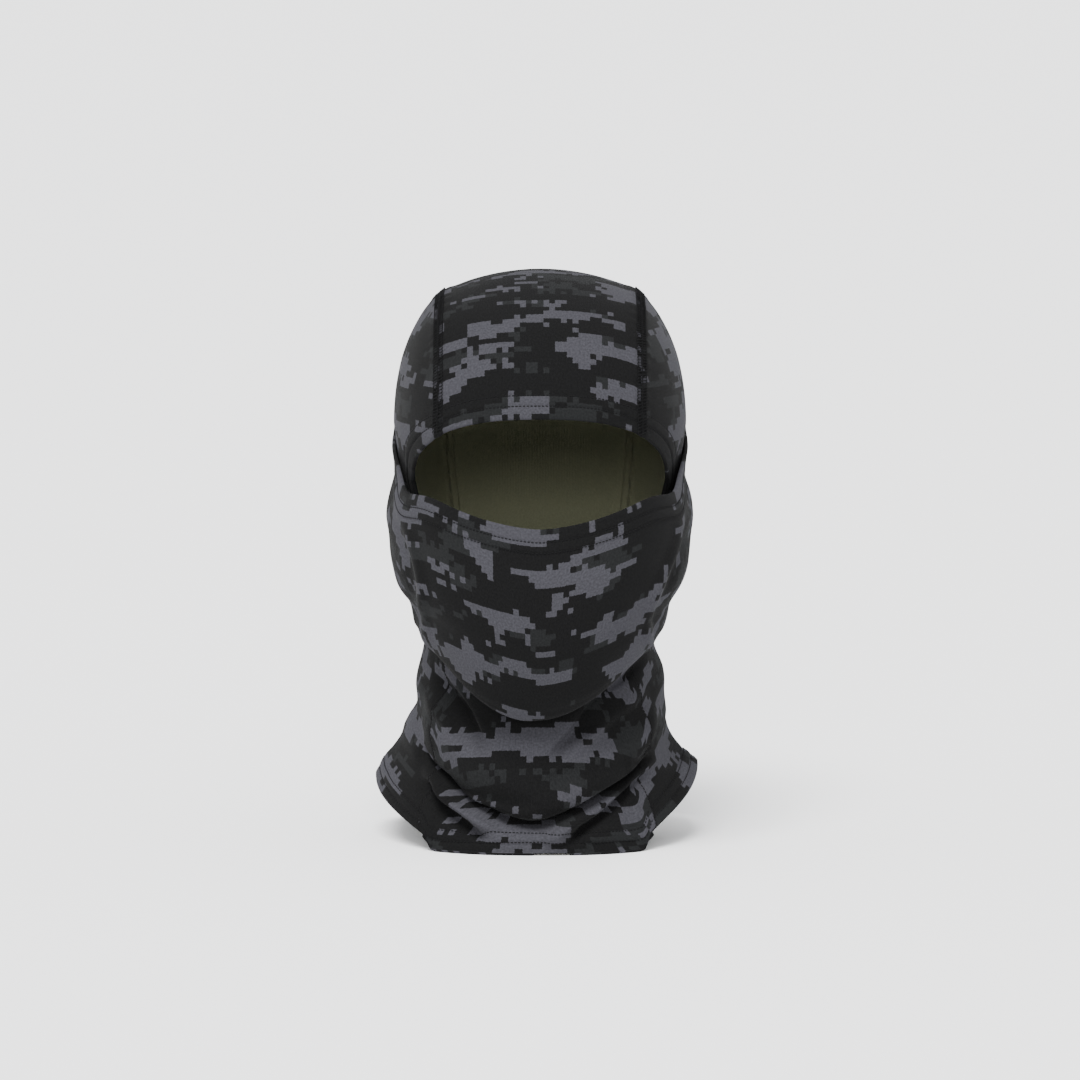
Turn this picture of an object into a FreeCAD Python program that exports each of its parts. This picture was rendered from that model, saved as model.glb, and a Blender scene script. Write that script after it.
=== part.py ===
"""Hinged balaclava: a lined three-panel hood, a pull-down face mask and a flared neck drape.

The garment stands as if it were worn. +Z is up, the face looks along -Y and the wearer's left is +X.
The origin is on the ground, below the centre of the head. All sizes are millimetres.

The hood is a crown strip from brow to nape with a side panel each side. The mask is a second skin that
runs from ear to ear outside the hood, hung on two round thread tacks. The neck is a tube in two panels.
Each skin is a formula, and each piece of cloth is a thin solid between two depths below its skin.
"""

import FreeCAD
import Part
import math
import os

V = FreeCAD.Vector

# Hood
HEAD_CENTRE_Z = 225.0       # height of the widest level of the hood
DOME_HEIGHT = 82.0          # from that level to the top
DOME_FRONT, DOME_BACK = 90.0, 98.0
HEAD_HALF_BREADTH = 79.0
JAW_HALF_BREADTH = 60.0     # at the bottom edge of the hood
NAPE_REACH = 64.0           # how far back the hood's bottom edge is
JAW_REACH = 62.0
NAPE_Z = 128.0              # the hood's bottom edge, where it meets the neck
ROUNDNESS = 2.2             # exponent of the dome's and the sides' superellipses
SIDE_SPREAD = 1.104         # the side curve would close this far outside the crown's midline
CROWN_HALF_WIDTH, CROWN_NAPE_HALF_WIDTH = 54.0, 46.0

# Face opening in the hood
BROW_Z, EYE_CORNER_Z = 235.3, 197.0
OPENING_HALF_WIDTH = 68.5
OPENING_ROUNDNESS = 2.5
JAW_CORNER_Y, JAW_CORNER_Z = -42.0, 128.0
SIDE_BOTTOM_REAR_Y = 25.0

# Mask: (height, half width) and (height, reach to the front) of its outer skin
MASK_WIDTHS = ((73, 57), (102, 62), (123, 69.5), (149, 79.5), (175, 83), (197, 79), (213, 80.4), (225, 81))
MASK_REACHES = ((73, 84), (90, 94), (120, 103), (150, 106), (180, 101), (225, 100))
MASK_ROUNDNESS = 2.6
MASK_REAR_Y = 34.0          # where its side ends are sewn to the hood
MASK_TOP_Z, MASK_TOP_RISE = 176.5, 36.5
MASK_TOP_DIP, MASK_DIP_ANGLE, MASK_DIP_WIDTH = 8.5, 62.0, 15.0      # the top edge dips below each eye corner
MASK_BOTTOM_Z, MASK_BOTTOM_RISE = 66.0, 49.0
MASK_TUCK, MASK_TUCK_RISE, MASK_TUCK_SHARE = 0.16, 9.0, 0.15
MASK_ON_HOOD = 1.6          # air between the mask's inside and the hood at the rear ends

# Neck: (share of the height, size) of its outer skin
NECK_HALF_WIDTHS = ((0, 89), (0.12, 81), (0.25, 73.5), (0.45, 69), (0.7, 65), (0.9, 61), (1, 60))
NECK_FRONTS = ((0, 80), (0.25, 74), (0.5, 70), (0.8, 67), (1, 66))
NECK_BACKS = ((0, 80), (0.25, 73), (0.5, 68), (0.8, 65), (1, 64))
NECK_ROUNDNESS = 2.3
SHOULDER_RISE = 36.0        # the hem lifts this far over each shoulder
HEM_FOOT_CUT = 1.2          # trimmed off the lowest hem so that it stands on a flat foot
CHIN_RIM_Z = 94.0           # the neck's top edge under the chin
NECK_SEAM_ANGLES = 43.0, 57.0   # side seams, from the front: at the hem and at the top

# Cloth
PANEL_T, LINING_T, FACING_T, HEM_T = 0.9, 0.7, 0.7, 1.8
LINING_DEPTH, FACING_DEPTH = 1.25, 2.9
SEAM_GAP = 0.5              # air across a butted seam
LINING_INSET = 2.2          # a lining stops this far short of a seam between curved panels
HEM_WIDTH = 13.0
TOPSTITCH_ROWS = 6.2, 12.0  # distances of the twin rows from an edge
THREAD_T, THREAD_W, THREAD_LIFT = 0.4, 0.7, 0.3
FLATLOCK_W = 5.5
OVERLOCK_W = 3.0

# Hinge tacks
TACK_Y, TACK_Z = 27.0, 211.7
TACK_R, TACK_CLEARANCE = 2.0, 0.06
TACK_HEAD_R, TACK_HEAD_T = 3.6, 0.7
PARTS = "parts"


# ---- Small helpers ----

def smooth(t):
    """0 below t = 0, 1 above t = 1, with no corner at either."""
    t = min(1.0, max(0.0, t))
    return t * t * (3 - 2 * t)


def mix(a, b, t):
    return a + (b - a) * t


def spread(low, high, count):
    return [mix(low, high, i / (count - 1)) for i in range(count)]


def through(stations, at):
    """A smooth curve through (position, value) stations, by cubic Hermite spans."""
    last = len(stations) - 1
    i = 0
    while i < last - 1 and at > stations[i + 1][0]:
        i += 1
    (x0, y0), (x1, y1) = stations[i], stations[i + 1]

    def slope(k):
        low, high = stations[max(0, k - 1)], stations[min(last, k + 1)]
        return (high[1] - low[1]) / (high[0] - low[0])

    t = (at - x0) / (x1 - x0)
    if t < 0 or t > 1:
        return y0 if t < 0 else y1
    m0, m1 = slope(i) * (x1 - x0), slope(i + 1) * (x1 - x0)
    return ((2 * t**3 - 3 * t**2 + 1) * y0 + (t**3 - 2 * t**2 + t) * m0
            + (3 * t**2 - 2 * t**3) * y1 + (t**3 - t**2) * m1)


def superellipse(angle, roundness):
    """(sine, cosine) of a superellipse of unit half axes, with their signs."""
    s, c = math.sin(angle), math.cos(angle)
    power = 2.0 / roundness
    return math.copysign(abs(s) ** power, s), math.copysign(abs(c) ** power, c)


# ---- Hood skin ----

def hood_drop(z):
    """0 at the hood's widest level, 1 at its bottom edge."""
    return min(1.0, max(0.0, (HEAD_CENTRE_Z - z) / (HEAD_CENTRE_Z - NAPE_Z)))


def hood_half_breadth(z):
    return HEAD_HALF_BREADTH - (HEAD_HALF_BREADTH - JAW_HALF_BREADTH) * hood_drop(z) ** 1.2


def hood_reach(z, behind):
    top, bottom = (DOME_BACK, NAPE_REACH) if behind else (DOME_FRONT, JAW_REACH)
    return mix(top, bottom, smooth(hood_drop(z)))


def side_share(y, z):
    """Distance from the ear-to-ear axis in side view: 1 on the hood's midline."""
    flat = abs(y) / hood_reach(z, y > 0)
    if z <= HEAD_CENTRE_Z:
        return flat
    up = (z - HEAD_CENTRE_Z) / DOME_HEIGHT
    return (flat**ROUNDNESS + up**ROUNDNESS) ** (1 / ROUNDNESS)


def side_x(y, z):
    """Half breadth of the hood at a point of its side view."""
    inside = max(1e-6, 1 - (side_share(y, z) / SIDE_SPREAD) ** ROUNDNESS)
    return hood_half_breadth(z) * inside ** (1 / ROUNDNESS)


def share_at(x, z):
    """The side_share at which the side panel has half breadth x."""
    inside = max(1e-6, 1 - (x / hood_half_breadth(z)) ** ROUNDNESS)
    return SIDE_SPREAD * inside ** (1 / ROUNDNESS)


def opening_z(x):
    """Height of the brow edge above the eye corners."""
    inside = max(0.0, 1 - (abs(x) / OPENING_HALF_WIDTH) ** OPENING_ROUNDNESS)
    return EYE_CORNER_Z + (BROW_Z - EYE_CORNER_Z) * inside ** (1 / OPENING_ROUNDNESS)


def opening_y(z):
    """Side view of the face opening's edge below the crown seam."""
    if z < EYE_CORNER_Z:
        eye_y = opening_y(EYE_CORNER_Z)
        return mix(JAW_CORNER_Y, eye_y, (z - JAW_CORNER_Z) / (EYE_CORNER_Z - JAW_CORNER_Z))
    up = (z - EYE_CORNER_Z) / (BROW_Z - EYE_CORNER_Z)
    x = OPENING_HALF_WIDTH * (1 - up**OPENING_ROUNDNESS) ** (1 / OPENING_ROUNDNESS)
    return -hood_reach(z, False) * share_at(x, z)


BACK_ANGLE = math.pi
NAPE_ANGLE = BACK_ANGLE + (HEAD_CENTRE_Z - NAPE_Z) / DOME_BACK


def crown_width(angle):
    below = smooth((angle - BACK_ANGLE) / (NAPE_ANGLE - BACK_ANGLE))
    return mix(CROWN_HALF_WIDTH, CROWN_NAPE_HALF_WIDTH, below)


def midline(angle):
    """(reach, height) on the hood's midline; the angle runs up from the brow, over and down to the nape."""
    if angle > BACK_ANGLE:
        z = mix(HEAD_CENTRE_Z, NAPE_Z, (angle - BACK_ANGLE) / (NAPE_ANGLE - BACK_ANGLE))
        return hood_reach(z, True), z
    up, forward = superellipse(angle, ROUNDNESS)
    return -forward * (DOME_FRONT if forward > 0 else DOME_BACK), HEAD_CENTRE_Z + DOME_HEIGHT * up


def crown_point(angle, x):
    y, z = midline(angle)
    seam_share = share_at(crown_width(angle), min(z, HEAD_CENTRE_Z))
    share = 1 - (1 - seam_share) * (x / crown_width(angle)) ** 2
    return V(x, y * share, mix(HEAD_CENTRE_Z, z, share) if z > HEAD_CENTRE_Z else z)


def brow_angle(x):
    """The crown angle of the brow edge at x."""
    share = 1 - (1 - share_at(CROWN_HALF_WIDTH, HEAD_CENTRE_Z)) * (x / CROWN_HALF_WIDTH) ** 2
    up = (opening_z(x) - HEAD_CENTRE_Z) / (DOME_HEIGHT * share)
    return math.asin(min(1.0, max(0.0, up)) ** (ROUNDNESS / 2))


def crown_skin(u, v):
    """u runs from brow to nape, v from the wearer's right seam at -1 to the left at 1."""
    start = brow_angle(v * CROWN_HALF_WIDTH)
    angle = mix(start, NAPE_ANGLE, u)
    return crown_point(angle, v * crown_width(angle))


def side_view(u, v):
    """Side view (y, z) of the side panel: u runs along the crown seam from brow to nape, v from it down."""
    seam = crown_skin(u, 1.0)
    brow = crown_skin(0.0, 1.0)
    bottom_y, bottom_z = mix(JAW_CORNER_Y, SIDE_BOTTOM_REAR_Y, u), mix(JAW_CORNER_Z, NAPE_Z, u)
    edge_z = mix(brow.z, JAW_CORNER_Z, v)
    bulge = opening_y(edge_z) - mix(brow.y, JAW_CORNER_Y, v)
    return mix(seam.y, bottom_y, v) + bulge * (1 - u), mix(seam.z, bottom_z, v)


def side_skin(side):
    def skin(u, v):
        y, z = side_view(u, v)
        return V(side * side_x(y, z), y, z)
    return skin


def brow_side_skin(side):
    """A strip along the opening's side: u runs down its edge, v is millimetres in from the edge."""
    def skin(u, v):
        z = mix(opening_z(CROWN_HALF_WIDTH) - 2.5, JAW_CORNER_Z + 6.0, u)
        y = opening_y(z)
        around = 5.0        # the edge's direction is averaged this far up and down it
        dy, dz = opening_y(z - around) - opening_y(z + around), -2 * around
        length = math.hypot(dy, dz)
        y, z = y - dz / length * v, z + dy / length * v
        return V(side * side_x(y, z), y, z)
    return skin


def brow_crown_skin(u, v):
    """A strip along the brow: u runs across it, v is millimetres up from the edge."""
    x = mix(-1.0, 1.0, u) * (CROWN_HALF_WIDTH - 1.0)
    return crown_point(brow_angle(x) + v / DOME_FRONT, x)


def crown_seam_skin(side):
    """The band over a crown seam: u runs along it, v from -1 on the crown to 1 on the side panel."""
    def skin(u, v):
        width = FLATLOCK_W / 2 * abs(v)
        angle = mix(brow_angle(CROWN_HALF_WIDTH), NAPE_ANGLE, u)
        seam = crown_point(angle, crown_width(angle))
        if v <= 0:
            point = crown_point(angle, crown_width(angle) - width)
        else:
            y, z = side_view(u, 0.0)
            to_y, to_z = side_view(u, 0.05)
            step = V(side_x(to_y, to_z), to_y, to_z) - seam
            share = 0.05 * width / step.Length
            y, z = side_view(u, share)
            point = V(side_x(y, z), y, z)
        return V(side * point.x, point.y, point.z)
    return skin


# ---- Mask skin ----

MASK_REAR_ANGLE = math.radians(110)


def mask_top(angle):
    dip = MASK_TOP_DIP * math.exp(-((abs(math.degrees(angle)) - MASK_DIP_ANGLE) / MASK_DIP_WIDTH) ** 2)
    return MASK_TOP_Z + MASK_TOP_RISE * (1 - math.cos(angle)) ** 0.6 - dip


def mask_bottom(angle):
    return MASK_BOTTOM_Z + MASK_BOTTOM_RISE * math.sin(min(abs(angle), math.pi / 2)) ** 1.6


def mask_point(angle, z, scale=1.0):
    """The mask's skin at an angle from the front, at a height."""
    width, reach = through(MASK_WIDTHS, z), through(MASK_REACHES, z)
    side = math.copysign(1, angle)
    if abs(angle) <= math.pi / 2:
        s, c = superellipse(angle, MASK_ROUNDNESS)
        return V(width * s * scale, -reach * c * scale, z)
    back = (abs(angle) - math.pi / 2) / (MASK_REAR_ANGLE - math.pi / 2)
    y = MASK_REAR_Y * back
    over_neck = 0.08 * max(0.0, 140.0 - z)
    rear = side_x(MASK_REAR_Y, z) + MASK_ON_HOOD + HEM_T + over_neck
    return V(side * mix(width, rear, smooth(back)), y, z)


def mask_skin(u, v):
    """u runs from the wearer's right rear end to the left, v from the chin fold up to the hem."""
    angle = mix(-MASK_REAR_ANGLE, MASK_REAR_ANGLE, u)
    tuck = max(0.0, 1 - v / MASK_TUCK_SHARE) ** 2
    front = max(0.0, math.cos(angle)) ** 2
    z = mix(mask_bottom(angle), mask_top(angle), v) + MASK_TUCK_RISE * tuck * front
    return mask_point(angle, z, 1 - MASK_TUCK * tuck * front)


def below_hem(skin, width):
    """The part of the mask's skin that lies below a hem of this width."""
    def lowered(u, v):
        angle = mix(-MASK_REAR_ANGLE, MASK_REAR_ANGLE, u)
        return skin(u, v * (1 - width / (mask_top(angle) - mask_bottom(angle))))
    return lowered


def mask_hem_skin(u, v):
    """u as in mask_skin, v is millimetres down from the mask's top edge."""
    angle = mix(-MASK_REAR_ANGLE, MASK_REAR_ANGLE, u)
    return mask_point(angle, mask_top(angle) - v)


def mask_x_at_tack():
    """x of the mask's outer skin beside a tack."""
    angle = math.pi / 2 + (MASK_REAR_ANGLE - math.pi / 2) * TACK_Y / MASK_REAR_Y
    return mask_point(angle, TACK_Z).x


# ---- Neck skin ----

def neck_hem_z(angle):
    toward_front = superellipse(angle, NECK_ROUNDNESS)[1]
    return SHOULDER_RISE * (1 - toward_front**2) ** 1.5 - HEM_FOOT_CUT


def neck_top_z(angle):
    around = abs(math.atan2(math.sin(angle), math.cos(angle)))
    return mix(CHIN_RIM_Z, NAPE_Z, smooth(around / math.radians(85)))


def neck_point(angle, z):
    """The neck's skin at an angle from the front, turning to the wearer's left, at a height."""
    share = (z - neck_hem_z(angle)) / (neck_top_z(angle) - neck_hem_z(angle))
    s, c = superellipse(angle, NECK_ROUNDNESS)
    reach = through(NECK_FRONTS if c > 0 else NECK_BACKS, share)
    return V(through(NECK_HALF_WIDTHS, share) * s, -reach * c, z)


def neck_seam_angle(z):
    low, high = (math.radians(a) for a in NECK_SEAM_ANGLES)
    return mix(low, high, math.sqrt(max(0.0, min(1.0, z / 110.0))))


def neck_skin(front, low, high):
    """A neck panel's skin: u turns from seam to seam, v rises between two heights given by an angle."""
    def skin(u, v):
        z = 60.0
        for _ in range(6):      # the seam leans, so its angle and the height settle together
            seam = neck_seam_angle(z)
            angle = mix(-seam, seam, u) if front else mix(seam, 2 * math.pi - seam, u)
            z = mix(low(angle), high(angle), v)
        return neck_point(angle, z)
    return skin


def neck_seam_skin(side):
    """The band over a side seam: u rises from the hem, v runs across it in millimetres."""
    def skin(u, v):
        z = mix(4.0, 108.0, u)
        angle = neck_seam_angle(z) + v / 75.0
        point = neck_point(angle, z)
        return V(side * point.x, point.y, point.z)
    return skin


def nape_skin(u, v):
    """The band over the seam of crown and neck: u runs across the nape, v runs up in millimetres."""
    half_width = CROWN_NAPE_HALF_WIDTH - 4.0
    return crown_point(NAPE_ANGLE - v / DOME_BACK, mix(-half_width, half_width, u))


# ---- Solids ----

def at_depth(skin, u, v, depth):
    """The point a depth below a skin, along its inward normal."""
    e = 2e-3
    point = skin(u, v)
    across = skin(u + e, v) - skin(u - e, v)
    along = skin(u, v + e) - skin(u, v - e)
    normal = across.cross(along)
    normal.normalize()
    outward = V(point.x, point.y, max(0.0, point.z - HEAD_CENTRE_Z))
    if normal.dot(outward) < 0:
        normal = normal * -1
    return point - normal * depth


def surface(points):
    face = Part.BSplineSurface()
    face.interpolate(points)
    return face


def sheet(skin, us, vs, depth, thickness):
    """A closed solid of even thickness whose outer face lies a depth below a skin."""
    outer, inner = (surface([[at_depth(skin, u, v, d) for v in vs] for u in us])
                    for d in (depth, depth + thickness))
    u0, u1, v0, v1 = outer.bounds()
    faces = [outer.toShape(), inner.toShape()]
    for u in (u0, u1):
        faces.append(Part.makeRuledSurface(outer.uIso(u).toShape(), inner.uIso(u).toShape(), 1))
    for v in (v0, v1):
        faces.append(Part.makeRuledSurface(outer.vIso(v).toShape(), inner.vIso(v).toShape(), 1))
    skin_shape = Part.Compound(faces)
    skin_shape.sewShape()
    solid = Part.Solid(skin_shape.Shells[0])
    if solid.Volume < 0:
        solid.reverse()
    return solid


def rows(skin, us, distances, depth=-THREAD_LIFT - THREAD_T):
    """One narrow cord on a skin at each distance, measured along v."""
    half = THREAD_W / 2
    return [sheet(skin, us, (d - half, d, d + half), depth, THREAD_T) for d in distances]


def round_bar(x, radius, length):
    return Part.makeCylinder(radius, length, V(x, TACK_Y, TACK_Z), V(1, 0, 0))


def hinge_tack(side, outer_x, inner_x):
    """A round thread tack through the mask and the hood, with a head on each end."""
    low, high = sorted((side * outer_x, side * inner_x))
    core = round_bar(low, TACK_R, high - low)
    outside = round_bar(side * outer_x - TACK_HEAD_T / 2, TACK_HEAD_R, TACK_HEAD_T)
    inside = round_bar(side * inner_x - TACK_HEAD_T / 2, TACK_HEAD_R, TACK_HEAD_T)
    return core.fuse([outside, inside]).removeSplitter()


def with_tack_holes(solid):
    reach = HEAD_HALF_BREADTH + 10
    return solid.cut(round_bar(-reach, TACK_R + TACK_CLEARANCE, 2 * reach))


def on_the_ground(solid):
    """Trims a hem flat where it stands."""
    size = 400.0
    return solid.cut(Part.makeBox(size, size, size, V(-size / 2, -size / 2, -size)))


def save(name, *solids):
    shape = solids[0] if len(solids) == 1 else Part.makeCompound(list(solids))
    for solid in shape.Solids:
        if not solid.isValid() or solid.Volume <= 0:
            print("invalid solid in", name)
    shape.exportStep(os.path.join(PARTS, name + ".step"))


# ---- The pieces ----

def hood():
    """Crown and side panels with their linings, the facing round the opening, and the hood's threads."""
    lengthwise = spread(0.0, 0.997, 33)
    edge, lining_edge = 1 - SEAM_GAP / 2 / CROWN_HALF_WIDTH, 1 - LINING_INSET / CROWN_HALF_WIDTH
    across, lining_across = spread(-edge, edge, 11), spread(-lining_edge, lining_edge, 11)
    save("crown_panel", sheet(crown_skin, lengthwise, across, 0, PANEL_T))
    save("crown_lining", sheet(crown_skin, lengthwise, lining_across, LINING_DEPTH, LINING_T))
    us = spread(0.002, 0.997, 33)
    vs = [mix(SEAM_GAP / 200, 1.0, t**1.5) for t in spread(0.0, 1.0, 19)]
    lining_vs = [mix(LINING_INSET / 100, 1.0, t**1.5) for t in spread(0.0, 1.0, 19)]
    for name, side in (("left", 1), ("right", -1)):
        skin = side_skin(side)
        save("side_panel_" + name, with_tack_holes(sheet(skin, us, vs, 0, PANEL_T)))
        save("side_lining_" + name, with_tack_holes(sheet(skin, us, lining_vs, LINING_DEPTH, LINING_T)))
        hem = spread(0.3, HEM_WIDTH, 5)
        facing = sheet(brow_side_skin(side), spread(0, 1, 19), hem, FACING_DEPTH, FACING_T)
        save("brow_facing_" + name, facing)
        band = sheet(crown_seam_skin(side), spread(0.004, 0.985, 41), (-1, 0, 1),
                     -THREAD_LIFT - 2 * THREAD_T, THREAD_T)
        save("crown_seam_thread_" + name, band)
    save("brow_facing_center", sheet(brow_crown_skin, spread(0, 1, 15), spread(0.3, HEM_WIDTH, 5),
                                     FACING_DEPTH, FACING_T))
    threads = rows(brow_crown_skin, spread(0.06, 0.94, 15), TOPSTITCH_ROWS)
    for side in (1, -1):
        threads += rows(brow_side_skin(side), spread(0.06, 1, 15), TOPSTITCH_ROWS)
    save("brow_topstitch", *threads)


def mask():
    """The face mask, its lining, folded hem and threads, and the tacks it hangs on."""
    around = spread(0.0, 1.0, 45)
    panel = below_hem(mask_skin, HEM_WIDTH + 0.3)
    save("mask_panel", sheet(panel, around, spread(0, 1, 15), 0, PANEL_T))
    save("mask_lining", sheet(panel, around, spread(0, 1, 15), PANEL_T + 0.2, HEM_T - PANEL_T - 0.2))
    save("mask_top_hem", with_tack_holes(sheet(mask_hem_skin, around, spread(0, HEM_WIDTH, 5), 0, HEM_T)))
    save("mask_topstitch", *rows(mask_hem_skin, spread(0.05, 0.95, 45), TOPSTITCH_ROWS))
    for name, side in (("left", 1), ("right", -1)):
        end = 0.985 if side > 0 else 0.015

        def rear_band(u, v):
            return mask_skin(end + v * side, mix(0.08, 0.8, u))

        save("mask_seam_thread_" + name, sheet(rear_band, spread(0, 1, 13), (-0.006, 0, 0.006),
                                               -2 * THREAD_LIFT - THREAD_T, THREAD_T))
        save("hinge_tack_" + name, hinge_tack(side, mask_x_at_tack() + 1.2, side_x(TACK_Y, TACK_Z) - 3.4))


def neck():
    """The neck's front and back panels with linings, folded hems and threads."""
    def hem_top(angle):
        return neck_hem_z(angle) + HEM_WIDTH

    def panel_bottom(angle):
        return hem_top(angle) + 0.3

    def panel_top(angle):
        return neck_top_z(angle) - SEAM_GAP

    for name, front, count in (("front", True, 19), ("back", False, 49)):
        us = spread(0.003, 0.997, count)
        panel = neck_skin(front, panel_bottom, panel_top)
        hem = neck_skin(front, neck_hem_z, hem_top)
        save("neck_" + name + "_panel", sheet(panel, us, spread(0, 1, 15), 0, PANEL_T))
        save("neck_" + name + "_lining", sheet(panel, us, spread(0, 1, 15), LINING_DEPTH, LINING_T))
        save("neck_hem_" + name, on_the_ground(sheet(hem, us, spread(0, 1, 5), 0, HEM_T)))
    stitches = []
    for front, count in ((True, 19), (False, 49)):
        band = neck_skin(front, neck_hem_z, hem_top)
        half = THREAD_W / HEM_WIDTH / 2
        for share in (row / HEM_WIDTH for row in TOPSTITCH_ROWS):
            stitches.append(sheet(band, spread(0.03, 0.97, count), (share - half, share, share + half),
                                  -THREAD_LIFT - THREAD_T, THREAD_T))
    save("neck_hem_topstitch", *stitches)
    for name, side in (("left", 1), ("right", -1)):
        save("neck_seam_thread_" + name, sheet(neck_seam_skin(side), spread(0.1, 1, 15),
                                               (-OVERLOCK_W / 2, 0, OVERLOCK_W / 2),
                                               -THREAD_LIFT - 2 * THREAD_T, THREAD_T))
    save("nape_seam_thread", sheet(nape_skin, spread(0, 1, 21), (-OVERLOCK_W / 2, 0, OVERLOCK_W / 2),
                                   -THREAD_LIFT - 4 * THREAD_T, THREAD_T))


os.makedirs(PARTS, exist_ok=True)
hood()
mask()
neck()
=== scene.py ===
"""The balaclava's looks, built round its CAD frame: sewn cloth panels with folds, hems, seams and stitches.

Shapes are worked out in millimetres in the CAD frame (+Z up, the face looks along -Y, the wearer's left is
+X) and turned into metres when a mesh is made. A skin is a grid of points over a panel's outside, a sheet is
cloth of some thickness below a skin, and a cord is a round thread along a path.
"""
import math

import bmesh
import bpy
import numpy as np
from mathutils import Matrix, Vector


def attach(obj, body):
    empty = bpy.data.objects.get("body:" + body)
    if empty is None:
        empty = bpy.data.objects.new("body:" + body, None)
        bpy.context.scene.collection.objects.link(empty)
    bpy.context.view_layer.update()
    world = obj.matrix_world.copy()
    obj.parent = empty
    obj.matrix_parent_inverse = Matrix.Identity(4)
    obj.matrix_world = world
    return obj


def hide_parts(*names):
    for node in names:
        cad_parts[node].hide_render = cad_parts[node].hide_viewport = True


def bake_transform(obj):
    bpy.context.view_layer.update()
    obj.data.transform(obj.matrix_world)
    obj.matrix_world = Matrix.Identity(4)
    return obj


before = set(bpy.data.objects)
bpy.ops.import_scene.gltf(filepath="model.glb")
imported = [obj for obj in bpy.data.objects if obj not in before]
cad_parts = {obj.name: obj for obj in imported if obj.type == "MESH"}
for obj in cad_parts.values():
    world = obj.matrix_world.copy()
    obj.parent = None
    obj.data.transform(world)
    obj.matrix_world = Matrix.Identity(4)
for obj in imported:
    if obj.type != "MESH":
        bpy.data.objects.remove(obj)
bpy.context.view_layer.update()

# Hood, in millimetres
HEAD_CENTRE_Z, DOME_HEIGHT = 225.0, 82.0
DOME_FRONT, DOME_BACK = 90.0, 98.0
HEAD_HALF_BREADTH, JAW_HALF_BREADTH = 79.0, 60.0
NAPE_REACH, JAW_REACH, NAPE_Z = 64.0, 62.0, 128.0
ROUNDNESS, SIDE_SPREAD = 2.2, 1.104
CROWN_HALF_WIDTH, CROWN_NAPE_HALF_WIDTH = 54.0, 46.0
BROW_Z, EYE_CORNER_Z = 235.3, 197.0
OPENING_HALF_WIDTH, OPENING_ROUNDNESS = 68.5, 2.5
JAW_CORNER_Y, JAW_CORNER_Z, SIDE_BOTTOM_REAR_Y = -42.0, 128.0, 25.0

# Mask: (height, half width) and (height, reach to the front)
MASK_WIDTHS = ((60, 50), (73, 57), (88, 60), (102, 62), (114, 67.1), (123, 69.5), (131, 72.4), (140, 76.8),
               (149, 79.8), (166, 81.6), (176, 82.9), (188, 80.9), (197, 78.4), (213, 79.6), (225, 80.5))
MASK_REACHES = ((60, 78), (73, 84), (90, 94), (105, 100), (120, 104), (150, 106), (180, 101), (225, 100))
MASK_ROUNDNESS, MASK_REAR_Y, MASK_REAR_DEGREES = 2.6, 34.0, 110.0
MASK_TOP_Z, MASK_TOP_RISE = 176.5, 36.5
MASK_TOP_DIP, MASK_DIP_ANGLE, MASK_DIP_WIDTH = 8.5, 62.0, 15.0      # the top edge dips below each eye corner
MASK_BOTTOM_Z, MASK_BOTTOM_RISE = 72.0, 42.0
CHIN_TURN_REAR, CHIN_TURN_FRONT = 3.0, 10.0     # radius of the turn that the cloth makes at the mask's bottom

# Neck: (height above the hem, size)
NECK_WIDTHS_RIGHT = ((0, 89), (5, 86), (11, 82), (17, 77.3), (22, 74.4), (27, 73), (33, 70.5), (39, 67.4),
                     (46, 67.2), (55, 66.5), (63, 64.3), (75, 62), (100, 60))
NECK_WIDTHS_LEFT = ((0, 85.5), (6, 79), (11, 74.3), (16, 71), (23, 68.8), (31, 69), (40, 68), (49, 66.9),
                    (57, 64.3), (70, 62), (100, 60))
NECK_FRONTS = ((0, 79), (10, 79), (20, 77), (35, 75.5), (50, 75), (62, 72), (75, 66.5), (92, 63), (110, 62))
NECK_BACKS = ((0, 80), (20, 76), (40, 71), (60, 68), (90, 65), (128, 64))
NECK_ROUNDNESS, CHIN_RIM_Z = 2.3, 92.0
SHOULDER_LIFT_LEFT, SHOULDER_LIFT_RIGHT, FOOT_END = 39.5, 33.0, 0.83
HEM_EDGE_Z = 1.3        # height of the hem's outside where it rests on the table

# Cloth and stitches
CLOTH_T, LINING_T, HEM_T, TURNED_EDGE_T = 0.9, 0.7, 2.0, 2.2
FACING_T, FACING_DEPTH = 0.5, 1.9
LINING_DEPTH, LINING_DEPTH_CHANGE, LINING_DEPTH_LEAST = 1.6, 0.8, 1.2      # below the hood's outside
HEM_WIDTH, TOPSTITCH_ROWS = 13.0, (6.2, 12.0)
STITCH_PITCH, STITCH_LENGTH, THREAD_R = 2.0, 1.45, 0.26
FLATLOCK_HALF, RUNG_PITCH, FLATLOCK_R = 2.9, 1.75, 0.24
TACK_HALF_WIDTH, TACK_HALF_HEIGHT, TACK_R = 2.2, 3.6, 0.27
KNIT_WIDTH, KNIT_HEIGHT = 0.9, 0.65
CAMO_CELL = 3.1
CUTTING = {     # where on the printed cloth each panel is cut from it, in millimetres
    "crown": (1294, 1830), "left": (2771, 1011), "right": (4476, 496),
    "mask": (2024, 1087), "neck": (1661, 2188)}
NECK_BACK_CUTTING = 900      # how far along the cloth from the neck's front panel its back panel is cut
CROWN_LENGTH, SIDE_HEIGHT, NECK_HEIGHT, NECK_RADIUS = 345.0, 95.0, 95.0, 74.0      # rough, to space points
FINE_STEP, COARSE_STEP = 0.6, 2.2       # from point to point across a hem, and over plain cloth

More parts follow.
